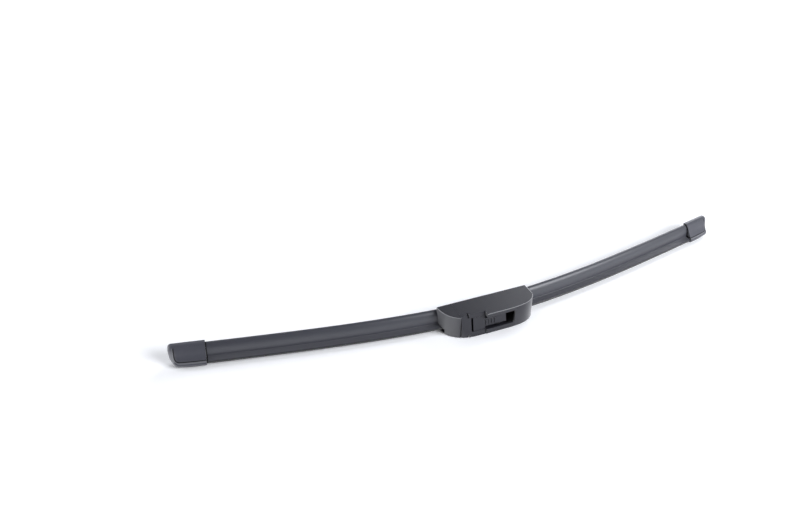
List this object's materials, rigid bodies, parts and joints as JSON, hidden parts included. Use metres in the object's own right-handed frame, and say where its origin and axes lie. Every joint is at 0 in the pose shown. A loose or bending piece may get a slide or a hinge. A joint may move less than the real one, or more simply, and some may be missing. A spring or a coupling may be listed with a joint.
{
  "type": "windscreen wiper blade",
  "caption": "Flat-beam windscreen wiper blade with a lopsided air spoiler, end caps, and a connector whose rocking adapter takes a U-hook arm.",
  "frame": {"origin": "on the axis that the arm adapter rocks on, in the blade's middle plane", "axes": "+X along the blade at its middle, towards the end without the nose cover; -Y away from the glass, to the wiper arm; +Z to the windward side of the spoiler, which faces up as the blade lies"},
  "size_m": [0.47, 0.0613, 0.0184],
  "materials": {
    "wiping_rubber": "matt, graphite-coated lip",
    "spoiler_rubber": "satin extrusion",
    "rail_steel": "rolled spring steel",
    "cap_plastic": "finely eroded moulding",
    "housing_plastic": "finely eroded moulding",
    "adapter_plastic": "satin moulding",
    "bracket_steel": "black coated sheet",
    "rivet_steel": "zinc-plated"
  },
  "bodies": {
    "blade": {"wiping_rubber": "wiping_rubber", "rail_windward": "rail_steel", "rail_leeward": "rail_steel", "spoiler_left": "spoiler_rubber", "spoiler_right": "spoiler_rubber", "end_cap_left": "cap_plastic", "end_cap_right": "cap_plastic", "clamp_bracket": "bracket_steel", "pivot_rivet": "rivet_steel", "housing": "housing_plastic", "nose_cover": "housing_plastic"},
    "arm_adapter": {"adapter": "adapter_plastic"}
  },
  "joints": [
    {"name": "adapter_rock", "type": "hinge", "parent": "blade", "child": "arm_adapter", "pos_m": [0, 0, 0], "axis": [0, 0, 1], "range_deg": [-8, 10]}
  ]
}
